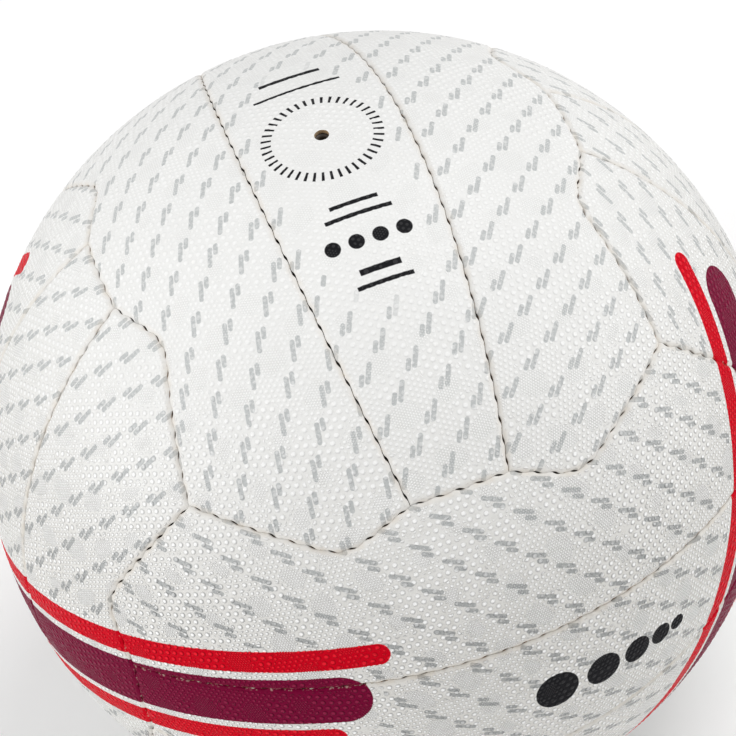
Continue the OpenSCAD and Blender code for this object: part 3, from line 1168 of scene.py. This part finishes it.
# The red bands, the plum ones and the plain ground between them: the middle and half the width of
# each, counted from that circle, and how much shorter its ends are
BANDS = (((3.3, 3.3, 0.0), (31.0, 3.3, 16.0)), ((17.2, 8.2, 7.0),), ((17.2, 18.4, 4.0),))
# How far the bands shift from one panel to the next
BAND_SHIFT = 0.45


def printed_bands(n, place, lay):
    """Masks of the red bands, the plum bands and the plain ground between them"""
    masks = [[] for _ in BANDS]
    for side in (1.0, -1.0):
        for vectors in BAND_SETS:
            normal, start, way = (unit(v) * np.array([side, side, 1.0]) for v in vectors)
            start = unit(start - normal * (start @ normal))
            ahead = np.cross(normal, start)
            ahead = ahead * np.sign(ahead @ way)
            back = start * math.sin(BAND_TURN) - ahead * math.cos(BAND_TURN)
            from_line, behind, beyond = (n.vector("DOT_PRODUCT", place, tuple(v))
                                         for v in (normal, -ahead, -back))
            from_line = n.plus(from_line, n.times(lay, BAND_SHIFT))
            short = n.most(behind, beyond)
            for bands, found in zip(BANDS, masks):
                for middle, half, shorter in bands:
                    past = n.most(n.plus(short, half + shorter), 0.0)
                    found.append(n.within(n.hypotenuse(past, n.minus(from_line, middle)), half))
    return [n.most(*found) for found in masks]


# Plain black marks: a ring of ticks, bars and spots by the valve, and a row of discs on the front
TICKS = 42
TICK_RING = (13.4, 16.2)
VALVE_BARS = ((30.5, 0.8, 8.5), (23.0, 0.55, 12.0), (-24.6, 0.6, 6.5), (-28.2, 0.6, 9.0),
              (-43.6, 0.8, 5.5), (-47.2, 0.55, 7.5))
VALVE_SPOTS = ((-9.6, -35.4), (-3.2, -35.4), (3.2, -35.4), (9.6, -35.4))
FRONT_SPOTS = ((11.0, 1.5, 6.2), (24.4, 0.5, 5.2), (35.6, -0.5, 4.2), (44.6, -1.5, 3.3), (51.6, -2.5, 2.4))


def plain_marks(n, place):
    """The mask of the plain black marks"""
    def away(*way):
        return n.vector("DISTANCE", place, tuple(unit(way) * BALL_R * TO_MM))

    x, y, z = n.split(place)
    beat = n.math("ABSOLUTE", n.math("SINE", n.times(n.math("ARCTAN2", y, x), TICKS / 2)))
    marks = [n.times(n.step(beat, 0.80, 0.92), n.between(n.hypotenuse(x, y), *TICK_RING))]
    for middle, half, reach in VALVE_BARS:
        marks.append(n.times(n.between(y, middle - half, middle + half),
                             n.within(n.math("ABSOLUTE", x), reach)))
    marks += [n.fall(away(spot_x, spot_y, 105.0), 2.0, 2.25) for spot_x, spot_y in VALVE_SPOTS]
    on_top = n.times(n.most(*marks), n.step(z, 0.0, 1.0))
    return n.most(on_top, *(n.within(away(spot_x, -104.0, spot_z), radius)
                            for spot_x, spot_z, radius in FRONT_SPOTS))


# Where finishes begin and end, counted inwards from a panel's rim, and negative down in its seam
DOTS_BEGIN = (0.7, 1.2)
CHAFED = (0.2, 0.7)
STAINED = (0.1, 1.9)
FRAYED = (-0.14, -0.01)
# Painted shade: the hem darkens from here down into the seam
SEAM_SHADE_DEPTHS = (-0.42, -0.13)
# The heights on the ball between which the grip's contrast falls off: its bump, the painted shade between
# its dots and the painted highlight on them; and between which the grey print is painted lighter towards the
# top, as painted light
UPPER = (15.0, 108.0)
LIGHTER_PRINT_HEIGHTS = (20.0, 85.0)
# The radius and the softness of each size of dot, and how tall the smaller ones are beside the large
LARGE_MASK = (0.60, 0.25)
MEDIUM_MASK = (0.40, 0.18)
FINE_MASK = (0.21, 0.12)
MEDIUM_TALL = 0.72
FINE_TALL = 0.50
# How gradually one patch of dots takes over from another
PATCH_SOFT = 0.05
MEDIUM_SOFT = 0.03


def grip_dots(n, rim, flat, step):
    """The mask of the dots, their height, and where the fine ones are"""
    patch, (low, high) = n.attribute("patch"), GRIP_SPLIT
    large = n.times(staggered_dots(n, flat, LARGE_DOT[0] * step, *LARGE_MASK),
                    n.step(patch, high, high + PATCH_SOFT))
    medium = n.times(staggered_dots(n, flat, MEDIUM_DOT[0] * step, *MEDIUM_MASK),
                     n.between(patch, low + MEDIUM_SOFT, high - MEDIUM_SOFT, MEDIUM_SOFT))
    fine_zone = n.fall(patch, low - PATCH_SOFT, low)
    fine = n.times(staggered_dots(n, flat, step, *FINE_MASK), fine_zone)
    clear = n.step(rim, *DOTS_BEGIN)
    dots = n.step(n.times(n.most(large, medium, fine), clear), 0.12, 0.60)
    tall = n.times(n.most(large, n.times(medium, MEDIUM_TALL), n.times(fine, FINE_TALL)), clear)
    return dots, tall, fine_zone


# How the white rubber changes where it is greyer and where it is warmer, and the painted shade of the
# ground between the dots: low on the ball, high on it, and where the dots are fine
GREYER = (0.965,)
WARMER = (0.99, 0.975, 0.945)
LOW_GAP_SHADE = (0.70, 0.685, 0.655)
HIGH_GAP_SHADE = (0.90, 0.90, 0.895)
FINE_GAP_SHADE = (0.60,)
# Colours of the painted highlight on the white dot tops and on the black print's dot tops, and of what
# has been rubbed or soaked
DOT_TOP_HIGHLIGHT = (0.95, 0.95, 0.94)
INK_DOT_HIGHLIGHT = (0.035, 0.035, 0.037)
CHAFED_PRINT = (0.62, 0.48, 0.40)
FRAYED_RUBBER = (0.50, 0.27, 0.13)
SOAKED_CLOTH = (0.72, 0.70, 0.62)


def rubber_color(n, place, white, dots, fine_zone, upper, mottle):
    """White rubber in soft clouds, with a painted highlight on the dots and painted shade on the ground
    between them
    """
    skin = n.mix(n.step(n.noise(place, "cloud"), 0.35, 0.65), white, scaled(white, *GREYER))
    skin = n.mix(n.times(n.step(mottle, 0.5, 0.75), 0.5), skin, scaled(white, *WARMER))
    # Painted highlight: the dot tops painted whiter, most low on the ball and fading out towards the top
    skin = n.mix(n.times(dots, n.minus(0.6, n.times(upper, 0.6))), skin, DOT_TOP_HIGHLIGHT)
    # Painted shade between the dots: darker low on the ball and among the fine dots
    ground = n.mix(upper, scaled(white, *LOW_GAP_SHADE), scaled(white, *HIGH_GAP_SHADE))
    fine_share = n.times(fine_zone, n.minus(0.40, n.times(upper, 0.28)))
    ground = n.mix(fine_share, ground, scaled(white, *FINE_GAP_SHADE))
    return n.mix(n.times(n.minus(1.0, dots), n.step(mottle, 0.3, 0.7, 0.7, 1.0)), skin, ground)


def seam_wear_and_shade(n, place, rim, color, bare, colours):
    """Stain on the bare rubber beside a seam, frayed rubber on its edge, and the hem down inside it painted
    dark as painted shade
    """
    dust = n.step(n.noise(place, "dust"), 0.35, 0.7, 0.25, 0.85)
    color = n.mix(n.times(n.fall(rim, *STAINED), dust, bare, 0.42), color, colours.stain)
    fray = n.mix(n.step(n.noise(place, "fray"), 0.45, 0.62), color, FRAYED_RUBBER)
    color = n.mix(n.fall(rim, *FRAYED), color, fray)
    # Painted shade: the hem down inside the seam is painted dark
    return n.mix(n.fall(rim, *SEAM_SHADE_DEPTHS), color, colours.hem)


def cover_material(colours, grip):
    """White rubber with raised dots, printed dashes and bands, and stained seams, with painted highlights
    and painted shade on the dots and painted shade down in the seams
    """
    n = Nodes("cover_rubber")
    place, flat, rim = n.place(), n.flat_place(), n.attribute("rim")
    z = n.split(place)[2]
    upper = n.step(z, *UPPER)
    dots, tall, fine_zone = grip_dots(n, rim, flat, grip.step * TO_MM)
    height = n.plus(tall, n.times(n.noise(place, "grain"), 0.05))
    normal = n.bump(height, 0.62 * MM, n.minus(1.0, n.times(upper, 0.66)))
    mottle = n.noise(place, "mottle")
    color = rubber_color(n, place, colours.white, dots, fine_zone, upper, mottle)

    # The bands' edges step from panel to panel, and out over the dots
    lay = n.plus(n.attribute("lay"), n.times(dots, 0.35))
    red, plum, ground = printed_bands(n, place, lay)
    banded = n.most(red, plum)
    worn = n.step(n.noise(place, "wear"), 0.30, 0.55, 0.55, 1.0)
    thin = n.step(dots, 0.0, 1.0, 1.0, 0.72)
    inked = n.times(dash_print(n, place, flat), worn, thin, n.minus(1.0, n.most(banded, ground)), 0.9)
    # Painted light: the grey print painted lighter towards the top of the ball
    grey = n.mix(n.step(z, *LIGHTER_PRINT_HEIGHTS), colours.dash, scaled(colours.dash, 1.7))
    color = n.mix(inked, color, grey)
    for mask, print_color in ((red, colours.red), (plum, colours.plum)):
        # Painted highlight on the dot tops and painted shade between the dots, in each band's colour
        bright = tuple(c + 0.012 for c in scaled(print_color, 1.12))
        color = n.mix(mask, color, n.mix(dots, scaled(print_color, 0.77), bright))
    chafed = n.step(n.noise(place, "chafe"), 0.55, 0.66, 0.0, 0.5)
    color = n.mix(n.times(banded, n.fall(rim, *CHAFED), chafed), color, CHAFED_PRINT)
    marks = plain_marks(n, place)
    # The black print with a painted highlight on its dot tops
    color = n.mix(marks, color, n.mix(dots, colours.ink, INK_DOT_HIGHLIGHT))
    color = seam_wear_and_shade(n, place, rim, color, n.minus(1.0, banded), colours)

    printed = n.most(banded, marks)
    roughness = n.minus(n.step(mottle, 0.3, 0.7, 0.40, 0.54), n.times(printed, 0.10))
    return n.finish(color, roughness, normal, n.step(printed, 0.0, 1.0, 0.42, 0.025))


def thread_material(colours):
    """Waxed thread, twisted and a little grubby"""
    n = Nodes("waxed_thread")
    place = n.place()
    fibre, grime = n.noise(place, "fibre"), n.noise(place, "grime")
    color = n.mix(n.step(grime, 0.3, 0.7), colours.thread, scaled(colours.thread, 0.45))
    color = n.mix(n.times(n.step(fibre, 0.4, 0.7), 0.6), color, scaled(colours.thread, 1.35))
    return n.finish(color, n.step(fibre, 0.2, 0.8, 0.5, 0.75), n.bump(fibre, 0.12 * MM, 0.8))


def cloth_material(colours):
    """Laminated cloth: a plain weave soaked with rubber"""
    n = Nodes("lining_cloth")
    flat = n.flat_place()
    yarn_pitch = 1.1
    warp, weft = (n.math("SINE", n.times(way, 2 * math.pi / yarn_pitch)) for way in n.split(flat)[:2])
    weave = n.plus(n.times(warp, weft, 0.5), 0.5)
    color = n.mix(weave, scaled(colours.cloth, 0.72), colours.cloth)
    color = n.mix(n.times(n.step(n.noise(flat, "soak"), 0.4, 0.7), 0.4), color, SOAKED_CLOTH)
    return n.finish(color, n.step(weave, 0.0, 1.0, 0.9, 0.75), n.bump(weave, 0.15 * MM, 0.8))


# Each moulded rubber's colour and roughness, and the colour and the share of its dust
RUBBERS = {
    "cut_edge": ((0.38, 0.25, 0.13), 0.7, (0.55, 0.46, 0.34), 0.6),
    "butyl_bladder_rubber": ((0.02, 0.02, 0.022), 0.45, (0.20, 0.19, 0.18), 0.5),
    "bladder_patch_rubber": ((0.42, 0.27, 0.14), 0.6, (0.55, 0.45, 0.33), 0.5),
    "valve_barrel_rubber": ((0.085, 0.055, 0.035), 0.5, (0.24, 0.18, 0.12), 0.6),
    "valve_plug_rubber": ((0.035, 0.026, 0.02), 0.4, (0.14, 0.11, 0.08), 0.5),
}


def rubber_material(name):
    """Moulded rubber with a bloom of dust"""
    n = Nodes(name)
    place = n.place()
    color, rough, dust_color, dust_share = RUBBERS[name]
    bloom = n.noise(place, "bloom")
    mixed = n.mix(n.times(n.step(bloom, 0.4, 0.75), dust_share), color, dust_color)
    grain = n.bump(n.noise(place, "moulding"), 0.05 * MM, 0.6)
    return n.finish(mixed, n.step(bloom, 0.3, 0.7, rough, rough + 0.15), grain)


def panel_layer(name, model_panel, slot, material, bore_d, wall, scene):
    """Models a centre and a side panel, lays them over the ball and bores the one over the valve"""
    sizes, grip = scene.netball_sizes, scene.netball_grip
    models = {kind: model_panel(f"{slot}_{kind}", kind, sizes, grip) for kind in STRIP_TILT}
    pieces = panel_copies(models, name, slot, material)
    bore(pieces[0], bore_d, wall)


class NETBALL_OT_cover(Operator):
    """Model the centre and the side panel of the cover and lay them over the six groups"""
    bl_idname = "netball.cover"
    bl_label = "Cover panels"

    def execute(self, context):
        scene = context.scene
        rubber = cover_material(scene.netball_colours, scene.netball_grip)
        hole_d, cut_edge = scene.netball_sizes.hole_d, rubber_material("cut_edge")
        panel_layer("grip_panel", cover_panel, "cover", rubber, hole_d, cut_edge, scene)
        return {"FINISHED"}


class NETBALL_OT_linings(Operator):
    """Model the laminated cloth behind every cover panel"""
    bl_idname = "netball.linings"
    bl_label = "Linings"

    def execute(self, context):
        scene = context.scene
        cloth = cloth_material(scene.netball_colours)
        hole_d = scene.netball_sizes.barrel_bore_d
        panel_layer("cloth_panel", lining_panel, "lining", cloth, hole_d, cloth, scene)
        return {"FINISHED"}


class NETBALL_OT_stitches(Operator):
    """Model one stitch and sew it along every seam"""
    bl_idname = "netball.stitches"
    bl_label = "Stitches"

    def execute(self, context):
        scene = context.scene
        sizes, grip = scene.netball_sizes, scene.netball_grip
        material = thread_material(scene.netball_colours)
        stitch = one_stitch(sizes)
        strip, end, _ = make_seams(sizes)
        half_round = Matrix.Rotation(math.pi, 4, "Z")
        for f, face in enumerate(FACES):
            turn = group_turn(f)
            frames = stitch_frames(strip, turn, sizes, grip)
            frames += stitch_frames(strip, turn @ half_round, sizes, grip)
            sewn_piece(f"stitches_{face}_strips", stitch, frames, material, f"thread_{face}_strips")
        for e, edge in enumerate(EDGES):
            turn = group_turn(e) if e < 6 else group_turn(e - 6) @ half_round
            frames = stitch_frames(end, turn, sizes, grip)
            sewn_piece(f"stitches_{edge}", stitch, frames, material, f"thread_{edge}")
        remove(stitch)
        return {"FINISHED"}


class NETBALL_OT_inside(Operator):
    """Model the bladder, its patch, and the valve's body and core"""
    bl_idname = "netball.inside"
    bl_label = "Bladder and valve"

    def execute(self, context):
        scene = context.scene
        sizes, valve = scene.netball_sizes, scene.netball_valve
        bond, top = sizes.bond_gap, skin_back(sizes, scene.netball_grip) - valve.slip_gap
        for name, outline, steps, node, slot in (
                ("butyl_bladder", bladder_outline(valve), 72, "bladder", "bladder"),
                ("bladder_patch", patch_outline(valve, bond), 48, "valve_patch", "patch"),
                ("valve_barrel", barrel_outline(valve, bond, top), 48, "valve_body", "valve_body"),
                ("valve_plug", core_outline(valve, top), 48, "valve_core", "valve_core")):
            piece = turned_piece(name, outline, steps)
            piece.data.materials.append(rubber_material(f"{name}_rubber"))
            stand_in(piece, node)
        return {"FINISHED"}


# The stage

# The picture's middle isn't the ball's: the camera's shift to the right and upwards
CAMERA_SHIFT = (-0.01625, 0.0787)
# Each light's place along the camera's right, up and back in metres, its size and its power
LIGHTS = (("key", (0.4, 1.5, 1.0), 0.9, 11.5),
          ("left_fill", (-1.5, -0.3, 0.7), 1.1, 13),
          ("right_fill", (1.5, 0.3, 0.6), 1.1, 6.5))
ROOM_LIGHT = 0.63


def camera_axes(stage):
    """Right, up and back of the camera, from its place round the ball and its roll"""
    az, el, roll = stage.azimuth, stage.elevation, stage.roll
    level = Vector((math.cos(az), math.sin(az), 0))
    back = Vector((math.cos(el) * math.sin(az), -math.cos(el) * math.cos(az), math.sin(el)))
    above = back.cross(level)
    right = level * math.cos(roll) - above * math.sin(roll)
    up = level * math.sin(roll) + above * math.cos(roll)
    return right, up, back


def add_area_light(name, place, size, power):
    """A soft light that faces the ball"""
    light = bpy.data.lights.new(name, "AREA")
    light.shape = "DISK"
    light.size = size
    light.energy = power
    lamp = add_object(name, light)
    lamp.location = place
    lamp.rotation_euler = (-place).to_track_quat("-Z", "Y").to_euler()


def add_floor():
    """A pale painted floor under the ball"""
    deselect_all()
    bpy.ops.mesh.primitive_plane_add(size=12, location=(0, 0, -BALL_R))
    floor = bpy.context.object
    floor.name = "floor"
    edit_all()
    bpy.ops.mesh.subdivide(number_cuts=3)
    leave_edit()
    n = Nodes("floor_paint")
    place = n.add("ShaderNodeTexCoord").outputs["Object"]
    tone = n.mix(n.noise(place, "paint"), (0.95, 0.95, 0.95), (0.97, 0.97, 0.97))
    floor.data.materials.append(n.finish(tone, 0.9, specular=0.1))


class NETBALL_OT_stage(Operator):
    """Set the camera, the floor and the soft light"""
    bl_idname = "netball.stage"
    bl_label = "Stage"

    def execute(self, context):
        scene = context.scene
        stage = scene.netball_stage
        right, up, back = camera_axes(stage)
        data = bpy.data.cameras.new("camera")
        data.lens = stage.lens
        data.sensor_width = 36.0
        data.shift_x, data.shift_y = CAMERA_SHIFT
        camera = add_object("camera", data)
        turn = Matrix((right, up, back)).transposed().to_4x4()
        camera.matrix_world = Matrix.Translation(back * stage.distance) @ turn
        scene.camera = camera
        add_floor()

        world = bpy.data.worlds.new("studio")
        world.use_nodes = True
        background = world.node_tree.nodes["Background"]
        background.inputs["Color"].default_value = (1, 1, 1, 1)
        background.inputs["Strength"].default_value = ROOM_LIGHT
        scene.world = world
        for name, (aside, above, behind), size, power in LIGHTS:
            add_area_light(name, right * aside + up * above + back * behind, size, power)
        scene.view_settings.view_transform = "Standard"
        return {"FINISHED"}


class NETBALL_PT_sidebar(Panel):
    """The steps of the netball, in order"""
    bl_label = "Netball"
    bl_idname = "NETBALL_PT_sidebar"
    bl_space_type = "VIEW_3D"
    bl_region_type = "UI"
    bl_category = "Netball"

    def draw(self, context):
        for step in STEPS:
            self.layout.operator(step.bl_idname)


STEPS = (NETBALL_OT_stage, NETBALL_OT_cover, NETBALL_OT_linings, NETBALL_OT_stitches, NETBALL_OT_inside)
GROUPS = {"netball_sizes": BallSizes, "netball_grip": GripSizes, "netball_valve": ValveSizes,
          "netball_colours": BallColours, "netball_stage": StageSizes}
CLASSES = (*GROUPS.values(), *STEPS, NETBALL_PT_sidebar)


def register():
    for cls in CLASSES:
        bpy.utils.register_class(cls)
    for name, group in GROUPS.items():
        setattr(bpy.types.Scene, name, PointerProperty(type=group))


def unregister():
    for name in GROUPS:
        delattr(bpy.types.Scene, name)
    for cls in reversed(CLASSES):
        bpy.utils.unregister_class(cls)


def main():
    register()
    bpy.ops.netball.stage()
    bpy.ops.netball.cover()
    bpy.ops.netball.linings()
    bpy.ops.netball.stitches()
    bpy.ops.netball.inside()


if __name__ == "__main__":
    main()
